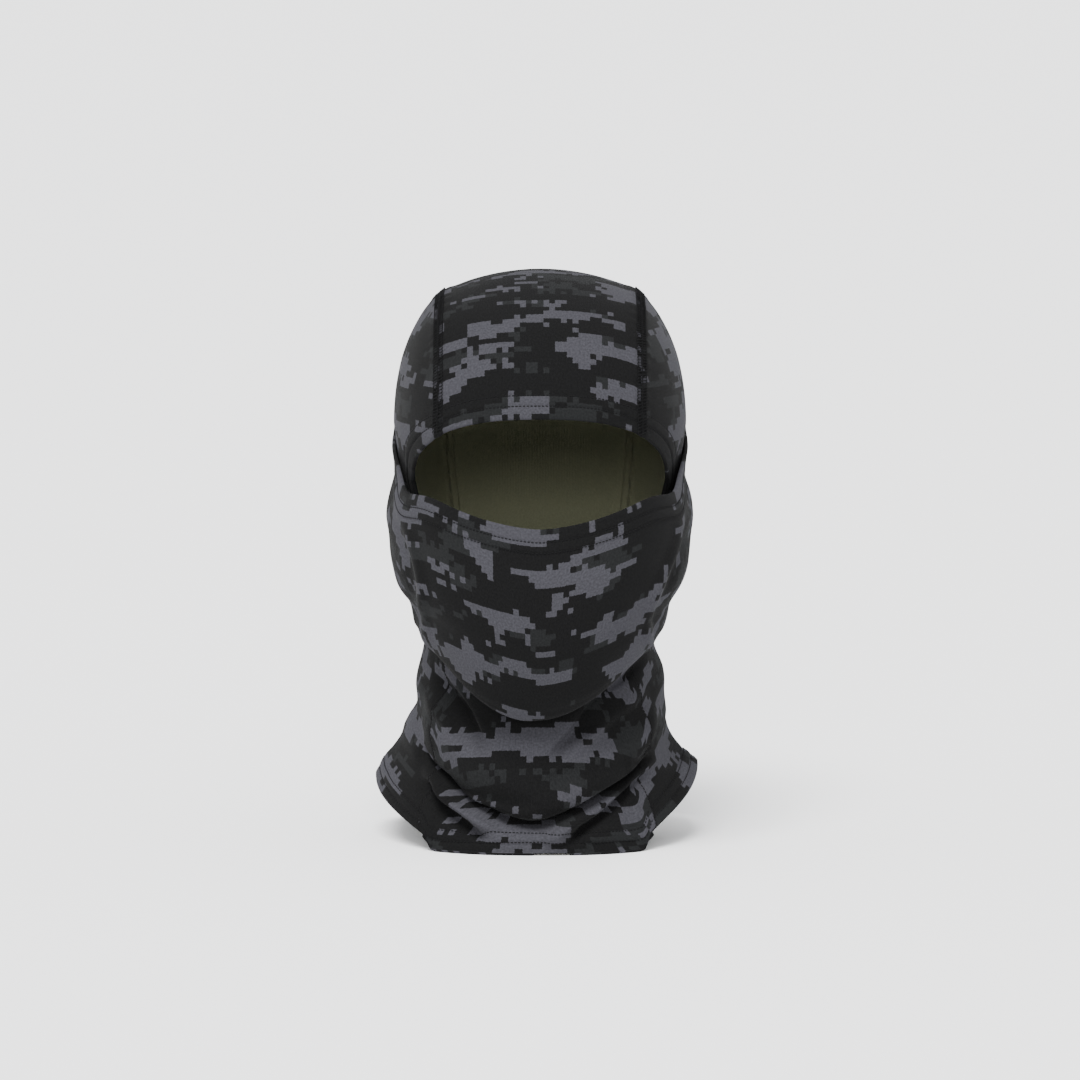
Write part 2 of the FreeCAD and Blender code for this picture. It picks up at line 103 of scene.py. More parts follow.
# Colours, linear
CAMO_LIGHT = (0.0318, 0.0313, 0.0365, 1)
CAMO_MID, CAMO_DARK = (0.0092, 0.0096, 0.0099, 1), (0.0046, 0.0046, 0.0047, 1)
OLIVE_DEEP, OLIVE_PALE = (0.108, 0.111, 0.070, 1), (0.156, 0.160, 0.105, 1)
THREAD_DEEP, THREAD_PALE = (0.0025, 0.0025, 0.0027, 1), (0.0080, 0.0080, 0.0084, 1)
LIGHT_ABOVE, DARK_ABOVE = 0.603, 0.505      # patch strengths where the light and dark prints begin

# Stage, in metres and degrees
CAMERA_LENS, SENSOR_WIDTH, VIEW_WIDTH, VIEW_CENTRE_Z, CAMERA_TILT = 200.0, 36.0, 0.586, 0.160, 6.7
SUN_STRENGTH, SUN_ANGLE, SOFTBOX_POWER, SOFTBOX_SIZE, SKY_STRENGTH = 6.0, 30, 75, (1.8, 0.9), 1.35
FLOOR_HALF = 80.0


# ---- Numbers ----

def smooth(t):
    t = np.clip(t, 0.0, 1.0)
    return t * t * (3 - 2 * t)


def mix(a, b, t):
    return a + (b - a) * t


def bell(distance, width):
    return np.exp(-((distance / width) ** 2))


def through(stations, at):
    """A smooth curve through (position, value) stations."""
    x, y = np.array(stations, float).T
    slope = np.gradient(y, x)
    i = np.clip(np.searchsorted(x, at, side="right") - 1, 0, len(x) - 2)
    gap = x[i + 1] - x[i]
    t = np.clip((at - x[i]) / gap, 0.0, 1.0)
    return ((2 * t**3 - 3 * t**2 + 1) * y[i] + (t**3 - 2 * t**2 + t) * gap * slope[i]
            + (3 * t**2 - 2 * t**3) * y[i + 1] + (t**3 - t**2) * gap * slope[i + 1])


LATTICE = np.random.default_rng(7).uniform(-1, 1, (32, 32, 32))


def wander(points, size):
    """Smooth random numbers from -1 to 1 that change over about this size, or these three sizes."""
    place = points / np.array(size, float) + 100.37
    cell = np.floor(place).astype(int)
    part = smooth(place - cell)
    total = 0.0
    for corner in np.ndindex(2, 2, 2):
        i = (cell + corner) % 32
        weight = np.prod(np.where(np.array(corner, bool), part, 1 - part), axis=-1)
        total = total + weight * LATTICE[i[..., 0], i[..., 1], i[..., 2]]
    return total


def unit(vectors):
    return vectors / np.maximum(np.linalg.norm(vectors, axis=-1, keepdims=True), 1e-9)


def stack(x, y, z):
    return np.stack(np.broadcast_arrays(x, y, z), axis=-1).astype(float)


def normals(points):
    """Outward unit normals of a grid of points round the head's axis."""
    n = unit(np.cross(np.gradient(points, axis=0), np.gradient(points, axis=1)))
    outward = points - stack(0, 0, np.minimum(points[..., 2], HEAD_CENTRE_Z))
    return n if (n * outward).sum() > 0 else -n


def lengths(points, axis):
    """Distance walked along one axis of a grid, from its start."""
    steps = np.linalg.norm(np.diff(points, axis=axis), axis=-1)
    walked = np.cumsum(steps, axis=axis)
    return np.concatenate([np.zeros_like(np.take(walked, [0], axis=axis)), walked], axis=axis)


def superellipse(angle, roundness):
    s, c = np.sin(angle), np.cos(angle)
    power = 2.0 / roundness
    return np.sign(s) * np.abs(s) ** power, np.sign(c) * np.abs(c) ** power


# ---- Hood skin ----

def hood_drop(z):
    return np.clip((HEAD_CENTRE_Z - z) / (HEAD_CENTRE_Z - NAPE_Z), 0.0, 1.0)


def hood_half_breadth(z):
    return HEAD_HALF_BREADTH - (HEAD_HALF_BREADTH - JAW_HALF_BREADTH) * hood_drop(z) ** 1.2


def hood_reach(z, behind):
    level = smooth(hood_drop(z))
    return np.where(behind, mix(DOME_BACK, NAPE_REACH, level), mix(DOME_FRONT, JAW_REACH, level))


def side_x(y, z):
    """Half breadth of the hood at a point of its side view."""
    flat = np.abs(y) / hood_reach(z, y > 0)
    up = np.maximum(0.0, z - HEAD_CENTRE_Z) / DOME_HEIGHT
    share = (flat**ROUNDNESS + up**ROUNDNESS) ** (1 / ROUNDNESS)
    inside = np.maximum(1e-6, 1 - (share / SIDE_SPREAD) ** ROUNDNESS)
    return hood_half_breadth(z) * inside ** (1 / ROUNDNESS)


def share_at(x, z):
    inside = np.maximum(1e-6, 1 - (x / hood_half_breadth(z)) ** ROUNDNESS)
    return SIDE_SPREAD * inside ** (1 / ROUNDNESS)


def opening_z(x):
    inside = np.maximum(0.0, 1 - (np.abs(x) / OPENING_HALF_WIDTH) ** OPENING_ROUNDNESS)
    return EYE_CORNER_Z + (BROW_Z - EYE_CORNER_Z) * inside ** (1 / OPENING_ROUNDNESS)


def opening_y(z):
    up = np.clip((z - EYE_CORNER_Z) / (BROW_Z - EYE_CORNER_Z), 0.0, 1.0)
    x = OPENING_HALF_WIDTH * (1 - up**OPENING_ROUNDNESS) ** (1 / OPENING_ROUNDNESS)
    level = np.maximum(z, EYE_CORNER_Z)
    y = -hood_reach(level, False) * share_at(x, level)
    return mix(JAW_CORNER_Y, y, np.clip((z - JAW_CORNER_Z) / (EYE_CORNER_Z - JAW_CORNER_Z), 0.0, 1.0))


NAPE_ANGLE = math.pi + (HEAD_CENTRE_Z - NAPE_Z) / DOME_BACK


def crown_width(angle):
    return mix(CROWN_HALF_WIDTH, CROWN_NAPE_HALF_WIDTH, smooth((angle - math.pi) / (NAPE_ANGLE - math.pi)))


def crown_point(angle, x):
    """A point of the crown strip; the angle runs up from the brow, over and down to the nape."""
    below = np.clip((angle - math.pi) / (NAPE_ANGLE - math.pi), 0.0, 1.5)
    up, forward = superellipse(np.minimum(angle, math.pi), ROUNDNESS)
    z = np.where(angle > math.pi, mix(HEAD_CENTRE_Z, NAPE_Z, below), HEAD_CENTRE_Z + DOME_HEIGHT * up)
    dome_y = -forward * np.where(forward > 0, DOME_FRONT, DOME_BACK)
    y = np.where(angle > math.pi, hood_reach(z, True), dome_y)
    seam_share = share_at(crown_width(angle), np.minimum(z, HEAD_CENTRE_Z))
    share = 1 - (1 - seam_share) * (x / crown_width(angle)) ** 2
    return stack(x, y * share, np.where(z > HEAD_CENTRE_Z, mix(HEAD_CENTRE_Z, z, share), z))


def brow_angle(x):
    share = 1 - (1 - share_at(CROWN_HALF_WIDTH, HEAD_CENTRE_Z)) * (x / CROWN_HALF_WIDTH) ** 2
    up = np.clip((opening_z(x) - HEAD_CENTRE_Z) / (DOME_HEIGHT * share), 0.0, 1.0)
    return np.arcsin(up ** (ROUNDNESS / 2))


def crown_skin(u, v):
    """u runs from brow to nape, v from the seam at -1 to the seam at 1."""
    angle = mix(brow_angle(v * CROWN_HALF_WIDTH), NAPE_ANGLE, u)
    return crown_point(angle, v * crown_width(angle))


def side_skin(u, v):
    """The wearer's left side panel: u runs along the crown seam from the brow, v from it down.

    Lines of constant v leave the face opening square to its edge, then bend into arcs over the ear."""
    seam, brow = crown_skin(u, 1.0), crown_skin(0.0, 1.0)
    edge_z = mix(brow[..., 2], JAW_CORNER_Z, v)
    edge_y = opening_y(edge_z)
    bulge = edge_y - mix(brow[..., 1], JAW_CORNER_Y, v)
    arc_y = mix(seam[..., 1], mix(JAW_CORNER_Y, SIDE_BOTTOM_REAR_Y, u), v) + bulge * (1 - u)
    arc_z = mix(seam[..., 2], mix(JAW_CORNER_Z, NAPE_Z, u), v)
    lean = (opening_y(np.maximum(edge_z - 5, JAW_CORNER_Z)) - opening_y(edge_z + 5)) / 10
    inward = 16 * (1 - np.exp(-u / 0.045)) / np.hypot(1, lean)
    arc = 1 - (1 - smooth(u / 0.35)) * smooth(v / 0.12)
    y, z = mix(edge_y + inward, arc_y, arc), mix(edge_z + inward * lean, arc_z, arc)
    return stack(side_x(y, z), y, z)


# ---- Mask skin ----

def mask_top(angle):
    dip = MASK_TOP_DIP * bell(np.abs(np.degrees(angle)) - MASK_DIP_ANGLE, MASK_DIP_WIDTH)
    return MASK_TOP_Z + MASK_TOP_RISE * (1 - np.cos(angle)) ** 0.6 - dip


def mask_bottom(angle):
    around = np.minimum(np.abs(angle + 0.06 * np.cos(angle)), math.pi / 2)
    return MASK_BOTTOM_Z + MASK_BOTTOM_RISE * np.sin(around) ** 1.6


def mask_plan(angle, z):
    """The mask's outline at a height, from ear to ear round the front."""
    s, c = superellipse(np.clip(angle, -math.pi / 2, math.pi / 2), MASK_ROUNDNESS)
    back = np.clip((np.abs(angle) - math.pi / 2) / math.radians(MASK_REAR_DEGREES - 90), 0.0, 1.0)
    width = through(MASK_WIDTHS, z)
    rear = side_x(np.full_like(z, MASK_REAR_Y), z) + 1.6 + HEM_T
    x = np.where(back > 0, mix(width, rear, smooth(back)) * np.sign(angle), width * s)
    return stack(x, np.where(back > 0, MASK_REAR_Y * back, -through(MASK_REACHES, z) * c), z)


def mask_folds(points):
    """How far the mask's cloth stands out from its plain shape."""
    x, y, z = points[..., 0], points[..., 1], points[..., 2]
    side = np.sign(x)
    # a ridge down each cheek, and the valley behind it
    lean = mix(58.0, 73.0, smooth((z - 105) / 85)) + 2.5 * np.sin(z / 13 + side)
    out = 2.4 * bell(np.abs(x) - lean, 3.0) * smooth((z - 95) / 25)
    out -= 2.6 * bell(np.abs(x) - lean - 5.5, 3.2) * smooth((z - 100) / 30) * smooth((-10 - y) / 15)
    # a ridge along each side of the jaw, and the valley under it
    out += 0.9 * bell(z - 118 - 0.30 * np.abs(x) - 3 * side, 7) * smooth((np.abs(x) - 18) / 30)
    out -= 1.1 * bell(z - 104 - 0.34 * np.abs(x), 5) * smooth((np.abs(x) - 22) / 25)
    return out + 0.7 * wander(points, (40, 40, 22)) + 0.25 * wander(points, (14, 14, 9))


def chin_turn(angle):
    """Radius of the cloth's turn at the mask's bottom, and how close to the front the angle is."""
    front = np.maximum(0.0, np.cos(angle)) ** 2
    return mix(CHIN_TURN_REAR, CHIN_TURN_FRONT, front), front


def mask_skin(angle, down):
    """The mask's skin at an angle from the front, this far down the cloth from its top edge."""
    radius, _ = chin_turn(angle)
    straight = mask_top(angle) - mask_bottom(angle) - radius
    turn = np.clip((down - straight) / radius, 0.0, None)
    z = mask_top(angle) - np.minimum(down, straight) - radius * np.sin(np.minimum(turn, math.pi))
    flat = mask_plan(angle, np.maximum(z, mask_bottom(angle) + 0.5 * radius))
    inward = radius * (1 - np.cos(np.minimum(turn, math.pi)))
    radial = unit(flat * (1, 1, 0))
    points = flat * (1, 1, 0) - radial * inward[..., None] + stack(0, 0, z)
    out = mask_folds(points) * smooth((down - 5) / 25) * (1 - smooth(turn / 2))
    return points + radial * out[..., None]


# ---- Neck skin ----

def neck_hem_z(angle):
    """Height of the hem's edge, which lies on the table at front and back and lifts over each shoulder."""
    s, c = superellipse(angle, NECK_ROUNDNESS)
    from_foot = np.clip((FOOT_END - np.abs(c)) / FOOT_END, 0.0, 1.0)
    rise = np.where(s > 0, SHOULDER_LIFT_LEFT, SHOULDER_LIFT_RIGHT)
    return rise * from_foot ** 0.50 * smooth(from_foot / 0.07)


def neck_top_z(angle):
    around = np.abs(np.arctan2(np.sin(angle), np.cos(angle)))
    return mix(CHIN_RIM_Z, NAPE_Z, smooth(around / math.radians(85)))


def along(stations, x):
    """Height of a fold's centre line at x, and how strong the fold is there."""
    xs = np.array(stations, float)[:, 0]
    strength = smooth((x - xs[0] + 7) / 14) * smooth((xs[-1] + 7 - x) / 14)
    return through(stations, x), strength


FRONT_FOLDS = (     # depth, width, and the (x, z) line of each fold on the neck's front; a ridge is positive
    (-11.0, 5.2, ((-62, 49), (-54, 41), (-46, 34), (-38, 28), (-27, 24), (-16, 20), (-5, 18), (8, 20),
                  (19, 25), (33, 32), (43, 38), (57, 47))),
    (6.0, 10.0, ((-62, 66), (-42, 54), (-20, 42), (0, 36), (22, 41), (44, 53), (62, 66))),
    (6.5, 4.4, ((-58, 38), (-51, 31), (-43, 26), (-35, 21), (-27, 17))),
    (6.5, 4.6, ((5, 12), (11, 15), (20, 20), (29, 26), (39, 31), (50, 39), (60, 46))),
    (-6.5, 3.8, ((-60, 31), (-55, 26), (-48, 20), (-39, 14), (-31, 9))),
    (-6.5, 3.8, ((17, 10), (27, 16), (37, 23), (46, 30), (56, 38))),
    (-2.6, 2.4, ((-60, 53), (-54, 48), (-43, 41), (-30, 36), (-14, 33), (-6, 32))),
    (-2.6, 2.8, ((2, 40), (8, 42), (22, 46), (38, 50), (54, 55), (60, 58))),
    (-4.0, 4.5, ((6, 52), (14, 61), (26, 75), (42, 87), (56, 98))),
    (3.0, 5.0, ((16, 54), (28, 65), (40, 75), (54, 84))),
    (-5.0, 5.0, ((-60, 92), (-48, 82), (-38, 70), (-30, 58))),
    (4.0, 5.0, ((-62, 80), (-50, 70), (-42, 60))),
)


def neck_folds(points):
    """(out, down): how far the neck's cloth stands out from its plain shape, and how far it sags."""
    x, y, z = points[..., 0], points[..., 1], points[..., 2]
    warp = 1.6 * wander(points, (18, 60, 14))
    front = smooth((-y - 20) / 25)
    out = np.zeros_like(x)
    for depth, width, line in FRONT_FOLDS:
        centre, strength = along(line, x)
        out += depth * bell(z + warp - centre, width) * strength
    # the cloth above the deepest fold hangs over it
    centre, strength = along(FRONT_FOLDS[0][2], x)
    sag = 6.0 * bell(z - centre - 9, 8) * strength
    # shallow smile-shaped folds across the back
    back_smile = 70 - 0.008 * x**2
    behind = 2.6 * np.sin((z - back_smile) / 6.5 + 1.2 * wander(points, 40)) * bell(z - 72, 30)
    out = out * front + behind * smooth((y - 5) / 40)
    out += 1.5 * wander(points, (35, 35, 16)) + 0.45 * wander(points, (12, 12, 7))
    return out, sag * front


def neck_shape(angle, share):
    """The neck before it folds.

    The angle turns from the front to the wearer's left, and the share rises from the hem to the top."""
    hem = neck_hem_z(angle)
    z = mix(hem, neck_top_z(angle), share)
    s, c = superellipse(angle, NECK_ROUNDNESS)
    above = z - hem
    width = np.where(s > 0, through(NECK_WIDTHS_LEFT, above), through(NECK_WIDTHS_RIGHT, above))
    reach = np.where(c > 0, through(NECK_FRONTS, z), through(NECK_BACKS, z))
    return stack(width * s, -reach * c, z)


def neck_skin(angle, share):
    points = neck_shape(angle, share)
    out, sag = neck_folds(points)
    calm = smooth((points[..., 2] - neck_hem_z(angle)) / 10) * smooth((1 - share) / 0.12)
    radial = unit(points * (1, 1, 0))
    points = points + radial * (out * calm)[..., None]
    points[..., 2] -= sag * calm
    return points


def neck_seam_angle(share):
    return np.radians(mix(43.0, 57.0, np.sqrt(np.clip(share, 0.0, 1.0))))


# ---- Meshes ----

def mesh_object(name, points, faces, material, uv=None):
    """A smooth mesh from points in millimetres; uv is the cloth's own millimetres at each point."""
    mesh = bpy.data.meshes.new(name)
    mesh.from_pydata(np.asarray(points, float).reshape(-1, 3) * 0.001, [], faces)
    if uv is not None:
        layer = mesh.uv_layers.new(name="cloth")
        corner = np.empty(len(mesh.loops), np.int32)
        mesh.loops.foreach_get("vertex_index", corner)
        layer.data.foreach_set("uv", (np.asarray(uv, float).reshape(-1, 2)[corner] * 0.001).ravel())
    mesh.polygons.foreach_set("use_smooth", np.ones(len(mesh.polygons), bool))
    mesh.materials.append(material)
    work = bmesh.new()
    work.from_mesh(mesh)
    bmesh.ops.recalc_face_normals(work, faces=work.faces)
    work.to_mesh(mesh)
    work.free()
    made = bpy.data.objects.new(name, mesh)
    bpy.context.scene.collection.objects.link(made)
    return made


def tube_faces(rows, around):
    """Quads joining rows of points, each row a closed ring."""
    start, j = np.meshgrid(np.arange(rows - 1) * around, np.arange(around), indexing="ij")
    k = (j + 1) % around
    return np.stack([start + j, start + around + j, start + around + k, start + k], -1).reshape(-1, 4)


RIM_TURNS = np.radians((36, 72, 108, 144))


def rim(edge, inner_edge, outward):
    """Columns of points that round off a sheet's edge, from its outside to its inside."""
    middle, half = (edge + inner_edge) / 2, (edge - inner_edge) / 2
    radius = np.linalg.norm(half, axis=-1, keepdims=True)
    return np.stack([middle + half * math.cos(t) + outward * radius * math.sin(t) for t in RIM_TURNS], axis=1)


def sheet(name, skin, uv, material, thickness=CLOTH_T, depth=0.0):
    """Cloth below a skin: a closed mesh with rounded first and last columns and flat ends.

    Where it would dip below the table, it's pressed flat."""
    inward = -normals(skin)
    outer = skin + inward * depth
    inner = outer + inward * np.broadcast_to(thickness, skin.shape[:2])[..., None]
    rows, columns = skin.shape[:2]
    last = rim(outer[:, -1], inner[:, -1], unit(skin[:, -1] - skin[:, -2]))
    first = rim(outer[:, 0], inner[:, 0], unit(skin[:, 0] - skin[:, 1]))[:, ::-1]
    turns = len(RIM_TURNS)
    loop = np.concatenate([outer, last, inner[:, ::-1], first], axis=1)
    loop[..., 2] = np.maximum(loop[..., 2], 0.0)
    last_uv, first_uv = np.repeat(uv[:, -1:], turns, axis=1), np.repeat(uv[:, :1], turns, axis=1)
    loop_uv = np.concatenate([uv, last_uv, uv[:, ::-1], first_uv], axis=1)
    around = 2 * columns + 2 * turns
    last_inner, first_inner = columns + turns, around - turns - 1
    cap = [[j, j + 1, first_inner - j - 1, first_inner - j] for j in range(columns - 1)]
    cap.append(list(range(columns - 1, last_inner + 1)))
    cap.append(list(range(first_inner, around)) + [0])
    far = (rows - 1) * around
    faces = tube_faces(rows, around).tolist() + cap + [[far + i for i in face[::-1]] for face in cap]
    return mesh_object(name, loop, faces, material, loop_uv)


def cords(name, centres, ups, radius, material, sides=6):
    """Round threads along centre lines; both arrays have the shape (cords, points, 3)."""
    heading = unit(np.gradient(centres, axis=1))
    across = unit(np.cross(heading, ups))
    up = np.cross(across, heading)
    count, steps = centres.shape[:2]
    size = np.full(steps, radius)
    size[[0, -1]] *= 0.45
    turn = np.linspace(0, 2 * math.pi, sides, endpoint=False)[:, None]
    ring = (np.cos(turn) * up[:, :, None] + np.sin(turn) * across[:, :, None]) * size[:, None, None]
    one = tube_faces(steps, sides).tolist()
    one += [list(range(sides)), list(range(steps * sides - 1, (steps - 1) * sides - 1, -1))]
    faces = [[k * steps * sides + i for i in face] for k in range(count) for face in one]
    return mesh_object(name, centres[:, :, None] + ring, faces, material)


# ---- Stitches ----

def at_distance(line, values, distance):
    """Values on a line of points, at distances walked along it."""
    walked = lengths(line, 0)
    return np.stack([np.interp(distance, walked, values[:, k]) for k in range(values.shape[1])], axis=-1)


def running_stitches(line, ups):
    """Centre lines and surface normals of a row of separate stitches along a line on a skin."""
    total = lengths(line, 0)[-1]
    starts = np.arange(0.4, total - STITCH_PITCH, STITCH_PITCH)
    part = np.linspace(0, 1, 6)
    distance = starts[:, None] + part * STITCH_LENGTH
    normal = unit(at_distance(line, ups, distance))
    lift = -0.12 + 0.30 * np.sin(math.pi * part) ** 0.6
    return at_distance(line, line, distance) + normal * lift[:, None], normal


def rows_of_stitches(name, lines, material):
    """One mesh of running stitches along several lines; each line is a pair of points and normals."""
    centres, ups = zip(*[running_stitches(*line) for line in lines])
    return cords(name, np.concatenate(centres), np.concatenate(ups), THREAD_R, material)


def flatlock(name, line, ups, across, material):
    """A band of flatlock stitching: slanted rungs, a thread along each edge and one up the middle."""
    total = lengths(line, 0)[-1]
    starts = np.arange(0.8, total - 2 * RUNG_PITCH, RUNG_PITCH)
    part = np.linspace(-1, 1, 9)

    def thread(sideways, forward, lift):
        distance = starts[:, None] + forward
        normal = unit(at_distance(line, ups, distance))
        aside = unit(at_distance(line, across, distance))
        centre = at_distance(line, line, distance)
        return centre + aside * sideways[:, None] + normal * lift[:, None], normal

    threads = [thread(FLATLOCK_HALF * part, 0.45 * part * RUNG_PITCH, 0.10 + 0.42 * (1 - part**4))]
    sway, forward = 0.28 * np.sin(math.pi * part), (part + 1) / 2 * RUNG_PITCH * 0.92
    for row in (-1.0, 0.0, 1.0):
        aside = row * FLATLOCK_HALF * 0.94 + sway
        threads.append(thread(aside, forward, 0.18 + 0.34 * np.cos(part * math.pi / 2)))
    centres, upward = zip(*threads)
    return cords(name, np.concatenate(centres), np.concatenate(upward), FLATLOCK_R, material, sides=5)


# ---- Relief of the cloth ----

def hem_relief(distance):
    """The swell of a folded hem, with a groove under each row of stitches."""
    relief = 0.55 * (1 - smooth((distance - TOPSTITCH_ROWS[1] + 0.3) / 1.6))
    for row in TOPSTITCH_ROWS:
        relief = relief - 0.42 * bell(distance - row, 0.9)
    return relief


def seam_relief(distance, walked):
    """The dip and the puckers of the cloth beside a seam."""
    puckers = np.sin(walked / 1.15 + 2.2 * np.sin(walked / 9)) * bell(distance - 4.0, 3.0)
    return 0.30 * bell(distance - 4.5, 2.2) - 0.35 * bell(distance, 1.6) + 0.22 * puckers


def raised(points, height):
    return points + normals(points) * height[..., None]


def contour(points, distance):
    """The line a distance in from the first column of a grid, and the surface normals along it."""
    ups = normals(points)
    line = np.stack([at_distance(row, row, distance) for row in points])
    return line, unit(np.stack([at_distance(row, up, distance) for row, up in zip(points, ups)]))


# ---- Materials ----

class Shader:
    """A material's node tree, with short ways to add nodes. Those that add one return its output socket."""

    def __init__(self, name):
        self.material = bpy.data.materials.new(name)
        self.material.use_nodes = True
        self.tree = self.material.node_tree
        self.base = self.tree.nodes["Principled BSDF"]

    def add(self, kind, inputs=None, output=0, **settings):
        node = self.tree.nodes.new("ShaderNode" + kind)
        for key, value in settings.items():
            setattr(node, key, value)
        for key, value in (inputs or {}).items():
            self.put(node.inputs[key], value)
        return node.outputs[output]

    def put(self, socket, value):
        if isinstance(value, bpy.types.NodeSocket):
            self.tree.links.new(value, socket)
        else:
            socket.default_value = value

    def math(self, operation, a, b=0.0):
        return self.add("Math", {0: a, 1: b}, operation=operation)

    def vector(self, operation, a, b=(0, 0, 0)):
        return self.add("VectorMath", {0: a, 1: b}, operation=operation)

    def noise(self, place, detail=2.0, scale=1.0):
        return self.add("TexNoise", {"Vector": place, "Scale": scale, "Detail": detail})

    def parts(self, vector):
        outputs = self.add("SeparateXYZ", {0: vector}).node.outputs
        return outputs[0], outputs[1]

    def speckle(self, place):
        return self.add("TexWhiteNoise", {"Vector": place}, noise_dimensions="2D")

    def total(self, *parts):
        """The sum of (weight, socket) pairs."""
        out = 0.0
        for weight, part in parts:
            out = self.math("ADD", out, self.math("MULTIPLY", part, weight))
        return out

    def finish(self, color, roughness, sheen, height, bump):
        """Joins up the surface and returns the material."""
        self.put(self.base.inputs["Base Color"], color)
        self.put(self.base.inputs["Roughness"], roughness)
        self.put(self.base.inputs["Specular IOR Level"], 0.06)
        self.put(self.base.inputs["Sheen Weight"], sheen)
        self.put(self.base.inputs["Sheen Roughness"], 0.45)
        normal = self.add("Bump", {"Height": height, "Strength": bump, "Distance": 0.0006})
        self.put(self.base.inputs["Normal"], normal)
        return self.material


def knit_height(shader, place):
    """(height, fluff): columns of V-shaped knit stitches, and the loose fluff on them; place is in metres."""
    across, up = shader.parts(shader.vector("MULTIPLY", place, (1000 / KNIT_WIDTH, 1000 / KNIT_HEIGHT, 0)))
    lean = shader.math("PINGPONG", across, 0.5)
    climb = shader.math("ADD", up, shader.math("MULTIPLY", lean, 1.6))
    rows = shader.math("SINE", shader.math("MULTIPLY", climb, math.tau))
    fluff = shader.noise(place, 3.0, 900.0)
    clouds = shader.noise(place, 2.0, 120.0)
    return shader.total((0.9, lean), (0.16, rows), (0.6, fluff), (0.35, clouds)), fluff


def camo_material():
    """Digital camouflage, one grey on two near blacks: square cells in wide patches with stray cells."""
    shader = Shader("camo_fabric")
    place = shader.add("UVMap", uv_map="cloth")
    # the print bleeds half a millimetre either way at the edges of its cells
    bleed = shader.add("TexNoise", {"Vector": place, "Scale": 1100.0, "Detail": 2.0}, output=1)
    bleed = shader.vector("MULTIPLY_ADD", bleed, (0.0010, 0.0010, 0))
    shader.put(bleed.node.inputs[2], (-0.0005, -0.0005, 0))
    cells = shader.vector("SCALE", shader.vector("ADD", place, bleed))
    shader.put(cells.node.inputs["Scale"], 1000.0 / CAMO_CELL)
    cell = shader.vector("FLOOR", cells)
    block = shader.vector("FLOOR", shader.vector("MULTIPLY", cell, (1 / 3, 0.5, 1)))

    def patches(shift):
        """How strongly each cell belongs to a patch; each shift gives patches of its own."""
        moved = shader.vector("ADD", cell, (shift, 0.37 * shift, 0))
        wide = shader.noise(shader.vector("MULTIPLY", moved, (0.075, 0.18, 1)), 1.0)
        small = shader.noise(shader.vector("MULTIPLY", moved, (0.22, 0.42, 1)), 2.0)
        stray = shader.speckle(shader.vector("ADD", cell, (shift, 3.0, 0)))
        steps = shader.speckle(shader.vector("ADD", block, (shift, 7.0, 0)))
        return shader.total((0.72, wide), (0.28, small), (0.070, stray), (0.065, steps))

    is_light = shader.math("GREATER_THAN", patches(0.0), LIGHT_ABOVE)
    is_dark = shader.math("GREATER_THAN", patches(211.0), DARK_ABOVE)
    ground = shader.add("MixRGB", {0: is_dark, 1: CAMO_MID, 2: CAMO_DARK})
    printed = shader.add("MixRGB", {0: is_light, 1: ground, 2: CAMO_LIGHT})
    height, _ = knit_height(shader, place)
    mottle = shader.noise(place, 3.0, 900.0)
    shade = shader.add("MapRange", {
        "Value": mottle, "From Min": 0.3, "From Max": 0.7, "To Min": 0.78, "To Max": 1.22})
    color = shader.vector("SCALE", printed)
    shader.put(color.node.inputs["Scale"], shade)
    return shader.finish(color, 0.95, 0.02, height, 0.35)


def lining_material():
    shader = Shader("olive_lining")
    place = shader.add("UVMap", uv_map="cloth")
    height, fluff = knit_height(shader, place)
    color = shader.add("MixRGB", {0: fluff, 1: OLIVE_DEEP, 2: OLIVE_PALE})
    return shader.finish(color, 0.95, 0.03, height, 0.25)


def thread_material():
    shader = Shader("black_thread")
    place = shader.add("TexCoord", output=3)
    twist = shader.noise(place, 2.0, 2200.0)
    color = shader.add("MixRGB", {0: twist, 1: THREAD_DEEP, 2: THREAD_PALE})
    return shader.finish(color, 0.80, 0.01, twist, 0.3)


CAMO, OLIVE, THREAD = camo_material(), lining_material(), thread_material()


# ---- Pieces ----

def place_piece(made, nodes, on_mask=False):
    """Rides a hood piece on the hood's body, or bakes a mask piece's placement into its mesh, and lets it
    stand for its CAD nodes.
    """
    if on_mask:
        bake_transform(made)
    else:
        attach(made, "hood")
    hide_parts(*nodes)


def mirrored(points, side):
    return points * (side, 1, 1)


def cloth_noise(points):
    return 0.45 * wander(points, 34) + 0.16 * wander(points, 11)


def crown_grid():
    """The crown strip from seam to seam by brow to nape: skin, distance to a seam, place on the cloth."""
    near = 0.16 * np.linspace(0, 1, 15) ** 1.3
    across = np.concatenate([near - 1, np.linspace(-0.80, 0.80, 36), (1 - near)[::-1]])
    fine_end = 17.0     # past the brow's stitches
    coarse = np.linspace(fine_end, CROWN_LENGTH, int((CROWN_LENGTH - fine_end) / COARSE_STEP) + 1)
    back = np.concatenate([np.arange(0, fine_end, FINE_STEP), coarse])
    v, u = np.meshgrid(across, back / CROWN_LENGTH, indexing="ij")
    points = crown_skin(u, v)
    angle = mix(brow_angle(v * CROWN_HALF_WIDTH), NAPE_ANGLE, u)
    uv = np.stack([v * crown_width(angle), lengths(points, 1)], axis=-1) + CUTTING["crown"]
    return points, (1 - np.abs(v)) * CROWN_HALF_WIDTH, uv


